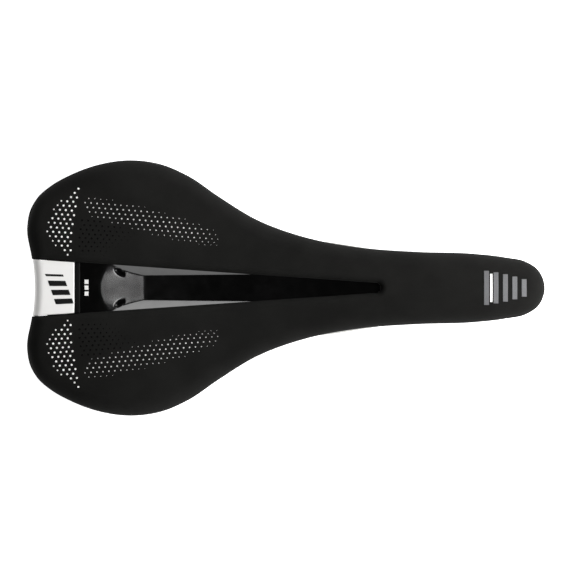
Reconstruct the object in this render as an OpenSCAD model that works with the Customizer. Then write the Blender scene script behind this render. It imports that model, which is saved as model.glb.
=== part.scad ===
// Road bicycle saddle: foam and microfibre over a moulded shell, with a sunken gloss relief
// channel down the middle, a white tail badge, and two round rails for the seatpost clamp.
// Millimetres. +X runs to the nose, +Y to the rider's left, +Z up. The origin lies midway
// between the rails, at the middle of their straight clamping length.

/* [Overall] */
// Length from the tail to the nose tip
saddle_l = 273; // [265:1:280]
// Width across the wings
saddle_w = 135; // [130:1:145]
// Distance from the tail to the middle of the clamping length
tail_to_clamp = 116; // [113:1:119]
// Height of the sitting surface over the rail centres, at the waist
stack_h = 41.5; // [40:0.5:46]
// Rise of the tail above the waist
tail_rise = 17.5; // [10:0.5:20]
// Drop of the nose tip below the waist
nose_drop = 5; // [2:0.5:8]

/* [Padding and cover] */
// Thickness of the microfibre cover
cover_t = 1; // [0.8:0.1:1.2]
// Cover and foam together
pad_h = 12; // [11:0.5:14]
// Rounding of the outer edge
edge_r = 8.5; // [7:0.5:9]
// Rounding beside the channel
slot_r = 3.5; // [2:0.5:4]
// Width of the cover's turned-under hem
hem_w = 7; // [4:0.5:8]

/* [Shell] */
// Thickness of the moulded shell
shell_t = 2.6; // [2:0.1:3]
// Height of the rim that hangs below the shell, on the wings
wing_rim = 0.8; // [0.5:0.1:1.5]
// Height of the rim that hangs below the shell, along the nose
nose_rim = 6; // [4:0.5:7]

/* [Relief channel] */
// Half width of the channel at the tail
slot_tail = 15.2; // [14.6:0.1:15.2]
// Narrowing of the half width for each millimetre towards the nose
slot_taper = 0.0687; // [0.0650:0.0001:0.0690]
// Distance from the tail to the channel's front end
slot_front = 185.7; // [182:0.1:188]
// Depth of the channel's shelf and front floor below the sitting surface
shelf_depth = 4; // [3.8:0.1:5]
// How much deeper the channel is at its deepest, in front of the ramp
channel_drop = 3.3; // [2.6:0.1:4.2]

/* [Rails] */
// Diameter of a rail
rail_d = 7; // [6.8:0.1:7.2]
// Distance between the rail centres along the clamping length
rail_gap = 44; // [43:0.5:45]
// Straight clamping length of a rail
clamp_l = 66; // [62:1:68]

/* [Hidden] */
$fn = 48;
eps = 0.01;
fit = 0.05; // clearance between pieces that only touch

// Half outline, from the middle of the tail round the wing to the nose tip.
OUTLINE = [for (p = [[3.9, 0], [2.6, 15], [0, 31.5], [1.6, 41], [5.5, 47.8], [12.5, 54],
        [22, 59.4], [36, 64.8], [54, 67.5], [70, 65.4], [84, 59.4], [100, 48.6], [120, 36.4],
        [145, 27.2], [175, 21.5], [205, 19.2], [235, 18.2], [252, 16.3], [263, 14],
        [269.5, 9.6], [273, 0]])
    [p.x * saddle_l / 273, p.y * saddle_w / 135]];
WING = 3; // outline index where the tail turns into the wing
TIP = len(OUTLINE) - 1;
BEFORE_SLOT_END = 14; // outline index just behind the channel's front end
slot_end_r = (slot_tail - slot_taper * slot_front) / (1 - slot_taper);
slot_end = BEFORE_SLOT_END + 0.36; // outline parameter level with the channel's front end
nose_hub = 258 * saddle_l / 273; // the nose's sections fan out from this point

// Height of the middle line over the waist, and the crown's curvature, along the length.
RISE = [[0, tail_rise], [45, 0.75 * tail_rise], [90, 0.27 * tail_rise], [140, 0], [200, 0.7],
    [245, -0.1 * nose_drop], [saddle_l, -nose_drop]];
CROWN = [[0, 0.0044], [60, 0.0044], [136, 0.011], [200, 0.018], [saddle_l, 0.018]];
under_shell = pad_h + shell_t; // depth of the shell's underside
RIM = [[0, under_shell + wing_rim], [110, under_shell + wing_rim],
    [180, under_shell + nose_rim], [saddle_l, under_shell + nose_rim]];

// ---- curves -------------------------------------------------------------------------------

function unit(v) = v / norm(v);
function left_of(v) = [-v.y, v.x];

// Slope of a curve at point i, from the parabola through it and its two neighbours.
function slope(p, i) =
    let (n = len(p) - 1, a = max(i - 1, 0), b = min(i + 1, n),
        h0 = norm(p[i] - p[a]), h1 = norm(p[b] - p[i]))
    i == 0 ? (p[1] - p[0]) / h1 : i == n ? (p[n] - p[n - 1]) / h0
    : ((p[b] - p[i]) * h0 / h1 + (p[i] - p[a]) * h1 / h0) / (h0 + h1);

function hermite(a, ta, b, tb, f) =
    a * (1 + 2 * f) * pow(1 - f, 2) + ta * f * pow(1 - f, 2)
    + b * f * f * (3 - 2 * f) + tb * f * f * (f - 1);

// The outline meets the middle line at right angles at both ends.
function outline_slope(i) = i == 0 ? [0, 1] : i == TIP ? [0, -1] : slope(OUTLINE, i);
function outline(t) =
    let (i = min(floor(t), TIP - 1), h = norm(OUTLINE[i + 1] - OUTLINE[i]))
    hermite(OUTLINE[i], h * outline_slope(i), OUTLINE[i + 1], h * outline_slope(i + 1), t - i);
function outline_out(t) =
    t >= TIP ? [1, 0] : left_of(unit(outline(t + 0.01) - outline(t - 0.01)));

// Value at x of a smooth curve through [x, value] points.
function along(table, x) =
    let (n = len(table) - 1, i = min(max(len([for (p = table) if (p.x <= x) 1]) - 1, 0), n - 1),
        h = table[i + 1].x - table[i].x, f = min(max((x - table[i].x) / h, 0), 1),
        s0 = slope(table, i), s1 = slope(table, i + 1))
    hermite(table[i].y, h * s0.y / s0.x, table[i + 1].y, h * s1.y / s1.x, f);

// Height of the sitting surface, before its edges are rounded, at distance d from the tail.
function seat_z(d, y) = stack_h + along(RISE, d) - along(CROWN, d) * y * y / 2;
function smooth(f) = let (c = min(max(f, 0), 1)) c * c * (3 - 2 * c);
function rounding(r, e) = r <= 0 ? 0 : r - sqrt(r * r - pow(max(r - max(e, 0), 0), 2));
function soft_min(a, b, k) = min(a, b) - pow(max(k - abs(a - b), 0), 2) / (4 * k);

// ---- plan grid of the left half -----------------------------------------------------------

// Half width of the channel, with a round front end.
function slot_half(d) =
    let (c = slot_front - slot_end_r, w = slot_tail - slot_taper * d)
    d >= slot_front ? 0 : d <= c ? w : sqrt(slot_end_r ^ 2 - (d - c) ^ 2);
function slot_away(d) =
    let (c = slot_front - slot_end_r)
    d <= c ? unit([slot_taper, 1]) : unit([d - c, slot_half(d)]);

// Inner end of the section at outline parameter t: beside the channel, then on the middle line.
INNER = concat([[WING, OUTLINE[1].x]], [for (i = [WING + 1 : BEFORE_SLOT_END]) [i, OUTLINE[i].x]],
    [[slot_end, slot_front], [BEFORE_SLOT_END + 1, 206], [TIP - 4, 232], [TIP, nose_hub]]);
function inner(t, inset) =
    let (d = lookup(t, INNER), past = (d - slot_front) / (nose_hub - slot_front))
    t >= slot_end ? [slot_front + inset + past * (nose_hub - slot_front - inset), 0]
    : [d, slot_half(d)] + inset * slot_away(d)
        + [inset * max(1 - (t - WING) / 2, 0), 0];
function outer(t, inset) = outline(t) - inset * outline_out(t);

// The tail edge bows out from the straight line between its two corners.
function tail_edge(v) = outline(1 + v * (WING - 1));
function tail_bow(v) = tail_edge(v) - (1 - v) * OUTLINE[1] - v * OUTLINE[WING];

SECTIONS = concat([WING, 3.12, 3.4, 3.8], [for (i = [4 : 1 : 13], f = [0.3, 1]) i + f],
    [14.15, 14.25, 14.32, slot_end, 14.4, 14.5], [for (i = [14 : 1 : 18], f = [0.75, 1.25]) i + f],
    [19.5, 19.75, TIP]);
FROM_EDGE = [0, 0.6, 2, 4.2, 8];
FROM_SLOT = [0, 0.8, 3.3];
MIDDLE = 4; // columns between the two rounded edges

// Share of the way from inner to outer end for each column of a section of length l.
function columns(l) =
    let (a = FROM_SLOT[len(FROM_SLOT) - 1] / l, b = 1 - FROM_EDGE[len(FROM_EDGE) - 1] / l)
    concat([for (e = FROM_SLOT) e / l], [for (k = [1 : MIDDLE - 1]) a + (b - a) * k / MIDDLE],
        [for (k = [len(FROM_EDGE) - 1 : -1 : 0]) 1 - FROM_EDGE[k] / l]);

// A half grid of points, inset from the full outline, at depth below the sitting surface.
// With rounded set, its edges roll down by the cover's radii less the inset.
function grid(inset, depth, rounded) =
    [for (t = SECTIONS)
        let (a = inner(t, inset), b = outer(t, inset), out = outline_out(t),
            away = slot_away(lookup(t, INNER)), bow = 1 - smooth((t - WING) / 3))
        [for (v = columns(norm(b - a)))
            let (p = (1 - v) * a + v * b + bow * tail_bow(v),
                e_tail = p.x - tail_edge(v).x - inset, e_out = (b - p) * out,
                e_slot = t < slot_end ? (p - a) * away : norm(p - [slot_front + inset, 0]),
                down = rounded ? rounding(edge_r - inset, soft_min(e_tail, e_out, 4)) : 0,
                down_slot = rounded ? rounding(slot_r - inset, e_slot) : 0)
            [p.x - tail_to_clamp, t >= slot_end && v == 0 || t == TIP ? 0 : p.y,
                seat_z(p.x, p.y) - depth - pow(down ^ 4 + down_slot ^ 4, 0.25)]]];

// ---- closed solids from half grids --------------------------------------------------------

SLOT_ROW = search(slot_end, SECTIONS)[0];
// The edge of a half grid: back along the channel, across the tail, forward round the outside.
function edge(g) = concat([for (i = [SLOT_ROW : -1 : 0]) g[i][0]],
    [for (j = [1 : len(g[0]) - 1]) g[0][j]], [for (i = [1 : len(g) - 1]) g[i][len(g[0]) - 1]]);

// A copy of a grid's edge, moved in by a distance and set at the shell rim's depth plus more.
function rim_ring(inset, more, widths) =
    let (g = edge(grid(0, 0, false)), n = len(g) - 1)
    [for (k = [0 : n])
        let (a = g[max(k - 1, 0)], b = g[min(k + 1, n)], t = unit([b.x - a.x, b.y - a.y]),
            w = inset + along(widths, g[k].x + tail_to_clamp) * (k > SLOT_ROW ? 1 : 0.35),
            out = k == 0 ? [-1, 0] : k == n ? [1, 0] : left_of(t), d = g[k].x + tail_to_clamp)
        [g[k].x - w * out.x, k == 0 || k == n ? 0 : g[k].y - w * out.y,
            seat_z(d, g[k].y) - along(RIM, d) - more]];
NO_WIDTH = [[0, 0], [saddle_l, 0]];
HEM = [[0, hem_w - cover_t], [150, hem_w - cover_t], [200, shell_t], [saddle_l, shell_t]];

// Closes the top grid, the rings and the bottom grid into one solid with both its halves.
module lofted(top, rings, bottom) {
    rows = len(top);
    cols = len(top[0]);
    loops = concat([edge(top)], rings, [edge(bottom)]);
    points = concat([for (g = [top, bottom], row = g, p = row) p], [for (l = loops, p = l) p]);
    flipped = [for (p = points) [p.x, p.y == 0 ? 0 : -p.y, p.z]];
    grid_n = rows * cols;
    loop_n = len(loops[0]);
    function corner(g, i, j) = g * grid_n + i * cols + j;
    function ring(k, b) = 2 * grid_n + k * loop_n + b;
    quads = concat(
        [for (i = [0 : rows - 2], j = [0 : cols - 2])
            [corner(0, i, j), corner(0, i, j + 1), corner(0, i + 1, j + 1), corner(0, i + 1, j)]],
        [for (i = [0 : rows - 2], j = [0 : cols - 2])
            [corner(1, i, j), corner(1, i + 1, j), corner(1, i + 1, j + 1), corner(1, i, j + 1)]],
        [for (k = [0 : len(loops) - 2], b = [0 : loop_n - 2])
            [ring(k, b + 1), ring(k, b), ring(k + 1, b), ring(k + 1, b + 1)]]);
    faces = [for (q = quads, f = [[q[0], q[1], q[3]], [q[1], q[2], q[3]]]) f];
    n = len(points);
    polyhedron(concat(points, flipped),
        concat(faces, [for (f = faces) [f[2] + n, f[1] + n, f[0] + n]]), convexity = 10);
}

// ---- placing pieces on the shell ----------------------------------------------------------

// Puts children on the sitting surface's tangent plane, lowered by depth, with +Z along the normal.
module on_seat(d, y, depth) {
    sx = seat_z(d + 0.5, y) - seat_z(d - 0.5, y);
    sy = seat_z(d, y + 0.5) - seat_z(d, y - 0.5);
    ax = unit([1, 0, sx]);
    az = unit([-sx, -sy, 1]);
    ay = cross(az, ax);
    multmatrix([[ax.x, ay.x, az.x, d - tail_to_clamp], [ax.y, ay.y, az.y, y],
        [ax.z, ay.z, az.z, seat_z(d, y) - depth], [0, 0, 0, 1]]) children();
}
module both_sides() {
    children();
    mirror([0, 1, 0]) children();
}
module each_at(places) for (p = places) translate([p.x, p.y, 0]) children();

// A pan-head machine screw pointing up, with its head's top face at the origin.
screw_r = 2;
head_r = 3.6;
head_h = 2.2;
hex_r = 1.44; // corner radius of the hexagon for a 2.5 mm key
hex_depth = 1.4;
module machine_screw(l) {
    difference() {
        translate([0, 0, -head_h]) cylinder(h = head_h, r = head_r);
        translate([0, 0, -head_h - eps]) cylinder(h = hex_depth, r = hex_r, $fn = 6);
    }
    cylinder(h = l, r = screw_r - fit);
}

// A self-tapping screw for plastic, smaller, in the same place.
tapping_r = 1.2;
tapping_head_r = 2.8;
tapping_head_h = 1.7;
CROSS = [3, 0.6, 1]; // one arm of the cross recess in its head
module tapping_screw(l) {
    difference() {
        translate([0, 0, -tapping_head_h]) cylinder(h = tapping_head_h, r = tapping_head_r);
        for (turn = [0, 90]) rotate(turn)
            translate([-CROSS.x / 2, -CROSS.y / 2, -tapping_head_h - eps]) cube(CROSS);
    }
    cylinder(h = l, r = tapping_r - fit);
}

// A flanged nut: its barrel fills the hole in the shell and its flange lies on top of the shell.
nut_r = 2.9;
nut_flange_r = 5;
nut_flange_h = 1.1;
nut_room = 0.4; // free space round the flange in the foam
module flanged_nut() {
    difference() {
        union() {
            translate([0, 0, -shell_t]) cylinder(h = shell_t + 2 * eps, r = nut_r - fit);
            translate([0, 0, eps]) cylinder(h = nut_flange_h, r = nut_flange_r);
        }
        translate([0, 0, -shell_t - 1]) cylinder(h = shell_t + nut_flange_h + 2, r = screw_r);
    }
}
module nut_pocket() translate([0, 0, -1])
    cylinder(h = 1 + nut_flange_h + nut_room, r = nut_flange_r + nut_room);

// ---- rails --------------------------------------------------------------------------------

rail_r = rail_d / 2;
rail_rear = 33; // distance from the tail to a rail's rear end
rail_front = 247; // distance from the tail to a rail's front end
rear_reach = 8; // distance from the clamping length to the knee behind it
nose_reach = 7; // distance from the clamping length to the knee in front of it
core_l = 1.2;
// The left rail's two ends and two knees.
REAR_END = [rail_rear - tail_to_clamp, 28.5, 30.5];
REAR_KNEE = [-clamp_l / 2 - rear_reach, rail_gap / 2, 0];
NOSE_KNEE = [clamp_l / 2 + nose_reach, rail_gap / 2, 0];
NOSE_END = [rail_front - tail_to_clamp, 6.8, 18.5];

// Puts children at a, with +Z pointing to b.
module aim(a, b) {
    az = unit(b - a);
    ax = unit(cross(az, [0, 1, 0]));
    ay = cross(az, ax);
    multmatrix([[ax.x, ay.x, az.x, a.x], [ax.y, ay.y, az.y, a.y], [ax.z, ay.z, az.z, a.z],
        [0, 0, 0, 1]]) children();
}
// A straight stops a hair short of the bends that it joins, and a core inside bridges the joint.
module straight(a, b) aim(a, b) translate([0, 0, eps])
    cylinder(h = norm(b - a) - 2 * eps, r = rail_r);
module core(p, dir) aim(p - core_l / 2 * dir, p + dir) cylinder(h = core_l, r = rail_r - 0.5);
// The bend at a knee between the straights from a and to b, starting reach before the knee.
module bend(a, knee, b, reach) {
    u = unit(knee - a);
    v = unit(b - knee);
    turn = acos(u * v);
    r = reach / tan(turn / 2);
    n = unit(v - (v * u) * u);
    c = knee - reach * u + r * n;
    z = cross(-n, u);
    multmatrix([[-n.x, u.x, z.x, c.x], [-n.y, u.y, z.y, c.y], [-n.z, u.z, z.z, c.z], [0, 0, 0, 1]])
        rotate_extrude(angle = turn, $fn = 96) translate([r, 0]) circle(r = rail_r);
}
module rail() {
    rear_dir = unit(REAR_END - REAR_KNEE);
    nose_dir = unit(NOSE_END - NOSE_KNEE);
    joints = [REAR_KNEE + rear_reach * rear_dir, REAR_KNEE + [rear_reach, 0, 0],
        NOSE_KNEE - [nose_reach, 0, 0], NOSE_KNEE + nose_reach * nose_dir];
    straight(REAR_END, joints[0]);
    bend(REAR_END, REAR_KNEE, NOSE_KNEE, rear_reach);
    straight(joints[1], joints[2]);
    bend(REAR_KNEE, NOSE_KNEE, NOSE_END, nose_reach);
    straight(joints[3], NOSE_END);
    core(joints[0], rear_dir);
    core(joints[1], [1, 0, 0]);
    core(joints[2], [1, 0, 0]);
    core(joints[3], nose_dir);
}
module left_rail() color("#9a9a98") rail();
module right_rail() color("#9a9a98") mirror([0, 1, 0]) rail();

// ---- sockets that hold the rails' ends ----------------------------------------------------

bush_wall = 0.9;
bush_l = 22;
bush_r = rail_r + fit + bush_wall;
barrel_r = bush_r + fit + 1.55;
barrel_end = 2.5; // closed wall past the rail's end
socket_gap = 0.6; // the flat socket plates sit this far below the crowned shell's highest point

// Children at a rail's end, with +Z pointing back along it.
module at_rear_end() aim(REAR_END, REAR_KNEE) children();
module at_nose_end() aim(NOSE_END, NOSE_KNEE) children();
module bush() difference() {
    cylinder(h = bush_l, r = bush_r);
    translate([0, 0, -1]) cylinder(h = bush_l + 2, r = rail_r + fit);
}
module barrel() translate([0, 0, -barrel_end]) cylinder(h = bush_l + barrel_end, r = barrel_r);
module bore() translate([0, 0, -fit]) cylinder(h = bush_l + 20, r = bush_r + fit);

REAR_SEAT = [42, 29]; // middle of the rear socket's plate: distance from the tail, and y
REAR_SCREWS = [[-11, -7.5], [11, -7.5]];
REAR_PLATE = [32, 19];
rear_plate_t = 3.5;
RIB = [[-13, 0], [14, 0], [11, -14.5], [-8, -7]]; // side view of the web under the plate
rib_t = 7.6;
module on_rear_seat(depth) on_seat(REAR_SEAT.x, REAR_SEAT.y, depth) children();

module rear_socket() difference() {
    union() {
        on_rear_seat(under_shell + socket_gap) translate([-REAR_PLATE.x / 2, -12, -rear_plate_t])
            cube([REAR_PLATE.x, REAR_PLATE.y, rear_plate_t]);
        on_rear_seat(under_shell + socket_gap + 1) translate([0, rib_t / 2, 0]) rotate([90, 0, 0])
            linear_extrude(rib_t) polygon(RIB);
        at_rear_end() barrel();
    }
    at_rear_end() bore();
    on_rear_seat(under_shell + rear_plate_t + 2) each_at(REAR_SCREWS) cylinder(h = 6, r = screw_r);
}
module left_rear_socket() color("#1b1c1e") rear_socket();
module right_rear_socket() color("#1b1c1e") mirror([0, 1, 0]) rear_socket();
module left_rear_bush() color("#2b2b2b") at_rear_end() bush();
module right_rear_bush() color("#2b2b2b") mirror([0, 1, 0]) at_rear_end() bush();
module rear_socket_screws() color("#8d8f92") both_sides()
    on_rear_seat(under_shell + socket_gap + rear_plate_t + fit) each_at(REAR_SCREWS)
        machine_screw(rear_plate_t + socket_gap + shell_t);
module rear_socket_nuts() color("#a7a9ab") both_sides()
    on_rear_seat(pad_h) each_at(REAR_SCREWS) flanged_nut();

NOSE_SEAT = 238; // middle of the nose socket's plate, from the tail
NOSE_SCREWS = [[-17, 0], [17, 0]];
NOSE_PLATE = [44, 19];
nose_plate_t = 3.5;
nose_gap = 1.2; // free space between the plate and the crowned shell's highest point
module on_nose_seat(depth) on_seat(NOSE_SEAT, 0, depth) children();

module nose_socket() difference() {
    union() {
        on_nose_seat(under_shell + nose_gap)
            translate([-NOSE_PLATE.x / 2, -NOSE_PLATE.y / 2, -nose_plate_t])
                cube([NOSE_PLATE.x, NOSE_PLATE.y, nose_plate_t]);
        on_nose_seat(under_shell + nose_gap) translate([-12, -8, -10]) cube([22, 16, 8]);
        both_sides() at_nose_end() barrel();
    }
    both_sides() at_nose_end() bore();
    on_nose_seat(under_shell + nose_plate_t + 3) each_at(NOSE_SCREWS) cylinder(h = 7, r = screw_r);
}
module left_nose_bush() color("#2b2b2b") at_nose_end() bush();
module right_nose_bush() color("#2b2b2b") mirror([0, 1, 0]) at_nose_end() bush();
module nose_socket_screws() color("#8d8f92")
    on_nose_seat(under_shell + nose_gap + nose_plate_t + fit) each_at(NOSE_SCREWS)
        machine_screw(nose_plate_t + nose_gap + shell_t);
module nose_socket_nuts() color("#a7a9ab") on_nose_seat(pad_h) each_at(NOSE_SCREWS) flanged_nut();

// ---- tail bridge, badge and trim ----------------------------------------------------------

BRIDGE_AT = 18; // middle of the tail bridge, from the tail
BRIDGE_SCREWS = [[-4, -24], [4, -24], [-4, 24], [4, 24]];
BADGE_SCREWS = [[-2, -8], [-2, 8]];
bridge_depth = 17.8;
bridge_t = 2.5;
BRIDGE = [16, 60];
pad_r = 3; // round pads that lift the bridge and the straps to the shell
module on_bridge(depth) on_seat(BRIDGE_AT, 0, depth) children();

module tail_bridge() color("#1b1c1e") difference() {
    on_bridge(bridge_depth) {
        translate([-BRIDGE.x / 2, -BRIDGE.y / 2, -bridge_t]) cube([BRIDGE.x, BRIDGE.y, bridge_t]);
        each_at(BRIDGE_SCREWS) cylinder(h = 1.4, r = pad_r);
    }
    on_bridge(bridge_depth + bridge_t + 1) {
        each_at(BRIDGE_SCREWS) cylinder(h = 8, r = tapping_r);
        each_at(BADGE_SCREWS) cylinder(h = 8, r = tapping_r);
    }
}
module tail_bridge_screws() color("#8d8f92") on_bridge(bridge_depth + bridge_t + fit)
    each_at(BRIDGE_SCREWS) tapping_screw(6);
module tail_badge_screws() color("#8d8f92") on_bridge(bridge_depth + bridge_t + fit)
    each_at(BADGE_SCREWS) tapping_screw(9);

// Keeps what lies between the channel's sides, from one distance from the tail to another.
side_gap = 0.15;
module between_sides(from, to) intersection() {
    children();
    translate([-tail_to_clamp, 0, 0]) linear_extrude(100) polygon([
        [from, slot_half(from) - side_gap], [to, slot_half(to) - side_gap],
        [to, side_gap - slot_half(to)], [from, side_gap - slot_half(from)]]);
}

badge_rear = 4.7;
badge_front = 25.3;
badge_depth = 1.2;
badge_t = 2.4;
badge_r = 8;
// Side view of the badge, x from its middle: a plate that turns down at the tail.
module badge_profile(t) {
    x = badge_rear - BRIDGE_AT + t;
    r = badge_r - t;
    translate([x + r, -badge_r]) circle(r = r);
    translate([x + r, -15 - t]) square([40, 15]);
    translate([x, -15 - badge_r - t]) square([40, 15]);
}
module tail_badge() color("#e8e8e6") difference() {
    between_sides(badge_rear, badge_front) on_bridge(badge_depth) {
        translate([0, 20, 0]) rotate([90, 0, 0]) linear_extrude(40) difference() {
            intersection() {
                badge_profile(0);
                translate([-15, -15]) square([30, 15]);
            }
            badge_profile(badge_t);
        }
        each_at(BADGE_SCREWS) translate([0, 0, badge_depth - bridge_depth + fit])
            cylinder(h = bridge_depth - badge_depth - badge_t + 1, r = 2.6);
    }
    on_bridge(bridge_depth) each_at(BADGE_SCREWS) translate([0, 0, -1])
        cylinder(h = 9, r = tapping_r);
}

bar_rear = badge_front + 0.1;
bar_front = 28;
bar_depth = 2.2;
ledge_depth = 7;
module trim_bar() color("#161716") between_sides(bar_rear, bar_front)
    on_seat(bar_rear, 0, ledge_depth - fit) translate([-5, -20, 0])
        cube([10, 40, ledge_depth - bar_depth]);

// ---- relief channel -----------------------------------------------------------------------

channel_rear = bar_rear;
bowl_apex = 39.5; // rearmost point of the rounded rim where the shelf ends
bowl_r = 15.4;
neck = 61; // the ramp ends here, and from here the floor climbs towards the front
climb_end = 118; // the floor is level with the sitting surface's fall from here on
CHANNEL_DROP = [[neck, channel_drop], [climb_end, 0.2], [slot_front, 0.2]];
wall_run = 1.45; // plan width of a side wall for each millimetre of its height
channel_t = 2.4;

channel_gap = 0.12;
function channel_half(d) = slot_half(d) - channel_gap;
function bowl_rim(y) = bowl_apex + bowl_r - sqrt(max(bowl_r ^ 2 - y * y, 0));
function channel_depth(d, y) =
    let (drop = lookup(d, CHANNEL_DROP), wall = (channel_half(d) - abs(y)) / (wall_run * drop),
        run = min(max((d - bowl_rim(y)) / (neck - bowl_rim(y)), 0), 1))
    d <= bar_front ? ledge_depth
    : shelf_depth + drop * max(min(run + 0.1 * sin(180 * run), wall, 1), 0);

CHANNEL_ROWS = concat([channel_rear, bar_front, bar_front + 0.05, 34, 39.5],
    [for (d = [40.5 : 1.5 : 61.5]) d], [for (d = [66 : 8 : 178]) d],
    [for (back = [3, 1.6, 0.8, 0.3]) slot_front - back]);
module relief_channel() {
    rows = CHANNEL_ROWS;
    cols = 12;
    function width_at(d, k) = let (v = k / cols * 2 - 1)
        channel_half(d) * sign(v) * (1 - pow(1 - abs(v), 1.35));
    top = [for (d = rows) [for (k = [0 : cols]) let (y = width_at(d, k))
        [d - tail_to_clamp, y, seat_z(d, 0) - channel_depth(d, y)]]];
    under = [for (r = top) [for (p = r) [p.x, p.y, p.z - channel_t]]];
    color("#0b0b0c") difference() {
        union() {
            slab(top, under);
            for (d = STRAPS) on_seat(d, 0, strap_depth + strap_t) {
                translate([-strap_w / 2, -slot_half(d) - strap_reach, 0])
                    cube([strap_w, 2 * (slot_half(d) + strap_reach), strap_t]);
                translate([-web_t / 2, 1 - slot_half(d), 0]) cube([web_t, 2 * slot_half(d) - 2,
                    strap_depth + strap_t - shelf_depth - lookup(d, CHANNEL_DROP) - channel_t / 2]);
                each_at(strap_screws(d)) cylinder(h = strap_t + 1.6, r = pad_r);
            }
        }
        for (d = STRAPS) on_seat(d, 0, strap_depth + strap_t + 1) each_at(strap_screws(d))
            cylinder(h = 6, r = tapping_r);
    }
}
// Closes two rectangular grids, a top and a bottom, into one solid.
module slab(top, under) {
    n = len(top);
    m = len(top[0]);
    loop = concat([for (i = [0 : n - 1]) i * m], [for (j = [1 : m - 1]) (n - 1) * m + j],
        [for (i = [n - 2 : -1 : 0]) i * m + m - 1], [for (j = [m - 2 : -1 : 1]) j]);
    quads = concat(
        [for (i = [0 : n - 2], j = [0 : m - 2])
            [i * m + j, i * m + j + 1, (i + 1) * m + j + 1, (i + 1) * m + j]],
        [for (i = [0 : n - 2], j = [0 : m - 2])
            [n * m + i * m + j, n * m + (i + 1) * m + j, n * m + (i + 1) * m + j + 1,
                n * m + i * m + j + 1]],
        [for (k = [0 : len(loop) - 1]) let (a = loop[k], b = loop[(k + 1) % len(loop)])
            [a, b, b + n * m, a + n * m]]);
    polyhedron([for (g = [top, under], r = g, p = r) p],
        [for (q = quads, f = [[q[0], q[1], q[2]], [q[0], q[2], q[3]]]) f], convexity = 6);
}
STRAPS = [64, 100]; // the insert's straps under the shell, from the tail
strap_depth = 17.3;
strap_t = 1.6;
strap_w = 8;
strap_reach = 11; // how far a strap runs out past the channel's side
web_t = 5; // the upright web between a strap and the insert's floor
function strap_screws(d) = [for (side = [-1, 1]) [0, side * (slot_half(d) + 8)]];
module relief_channel_screws() color("#8d8f92")
    for (d = STRAPS) on_seat(d, 0, strap_depth + strap_t + fit) each_at(strap_screws(d))
        tapping_screw(5);

// ---- padded top ---------------------------------------------------------------------------

module cover() {
    color("#1c1c1b") lofted(grid(0, 0, true), [rim_ring(0, cover_t, NO_WIDTH),
            rim_ring(cover_t, cover_t, HEM), rim_ring(cover_t, eps, HEM),
            rim_ring(cover_t, eps, NO_WIDTH)], grid(cover_t, cover_t, true));
}

module padding() {
    color("#d8c98e") difference() {
        lofted(grid(cover_t + eps, cover_t + eps, true), [], grid(cover_t + eps, pad_h, false));
        both_sides() on_rear_seat(pad_h) each_at(REAR_SCREWS) nut_pocket();
        on_nose_seat(pad_h) each_at(NOSE_SCREWS) nut_pocket();
    }
}

module base_shell() {
    wall = cover_t + 2 * eps;
    color("#101112") difference() {
        lofted(grid(wall, pad_h + eps, false), [rim_ring(wall, 0, NO_WIDTH),
                rim_ring(wall + shell_t, 0, NO_WIDTH)], grid(wall + shell_t, under_shell, false));
        both_sides() on_rear_seat(under_shell + 1) each_at(REAR_SCREWS) cylinder(h = 6, r = nut_r);
        on_nose_seat(under_shell + 1) each_at(NOSE_SCREWS) cylinder(h = 6, r = nut_r);
        on_bridge(bridge_depth) each_at(BRIDGE_SCREWS) cylinder(h = 4, r = tapping_r);
        for (d = STRAPS) on_seat(d, 0, strap_depth) each_at(strap_screws(d))
            cylinder(h = 4, r = tapping_r);
    }
}

// ---- small things on the cover ------------------------------------------------------------

// Bars across the nose that get shorter towards the tip: distance from the tail, half length.
EMBLEM = [[240, 9], [245, 8.2], [250, 7.2], [255, 6], [260, 4.6]];
emblem_w = 2.6;
emblem_t = 0.3;
module nose_emblem() {
    steps = 6;
    function strip(bar, up) = [for (e = [0, emblem_w]) [for (k = [0 : steps])
        let (y = bar[1] * (2 * k / steps - 1))
        [bar[0] + e - tail_to_clamp, y, seat_z(bar[0] + e, y) + up]]];
    color("#58585a") for (bar = EMBLEM) slab(strip(bar, emblem_t), strip(bar, 0.05));
}

// Staple backs that lie on the hem, one every few points of the rim.
staple_l = 7;
staple_w = 0.8;
staple_t = 0.45;
module cover_staples() {
    middle = cover_t + shell_t / 2;
    ring = rim_ring(middle, cover_t + fit, NO_WIDTH);
    first = SLOT_ROW + 6;
    color("#b9babc") both_sides() for (k = [first : 5 : len(ring) - 3])
        let (a = ring[k - 1], b = ring[k + 1], turn = atan2(b.y - a.y, b.x - a.x),
            dip = -atan2(b.z - a.z, norm([b.x - a.x, b.y - a.y])))
        translate(ring[k]) rotate([0, dip, turn]) translate([-staple_l / 2, -staple_w / 2, -staple_t])
            cube([staple_l, staple_w, staple_t]);
}

// ---- everything ---------------------------------------------------------------------------

cover();
padding();
base_shell();
relief_channel();
relief_channel_screws();
trim_bar();
tail_badge();
tail_badge_screws();
tail_bridge();
tail_bridge_screws();
nose_emblem();
cover_staples();
left_rail();
right_rail();
left_rear_socket();
right_rear_socket();
left_rear_bush();
right_rear_bush();
rear_socket_screws();
rear_socket_nuts();
nose_socket();
left_nose_bush();
right_nose_bush();
nose_socket_screws();
nose_socket_nuts();
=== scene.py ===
"""A road saddle: microfibre over foam on a moulded shell, with a gloss relief channel.

Shapes are worked out in millimetres and scaled to metres when a piece is finished. Distances
called d run along the saddle from its tail to its nose, y is to the rider's left and z is up.
"""

import math

import bmesh
import bpy
from bpy.props import FloatProperty, PointerProperty, StringProperty
from mathutils import Matrix, Vector


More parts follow.
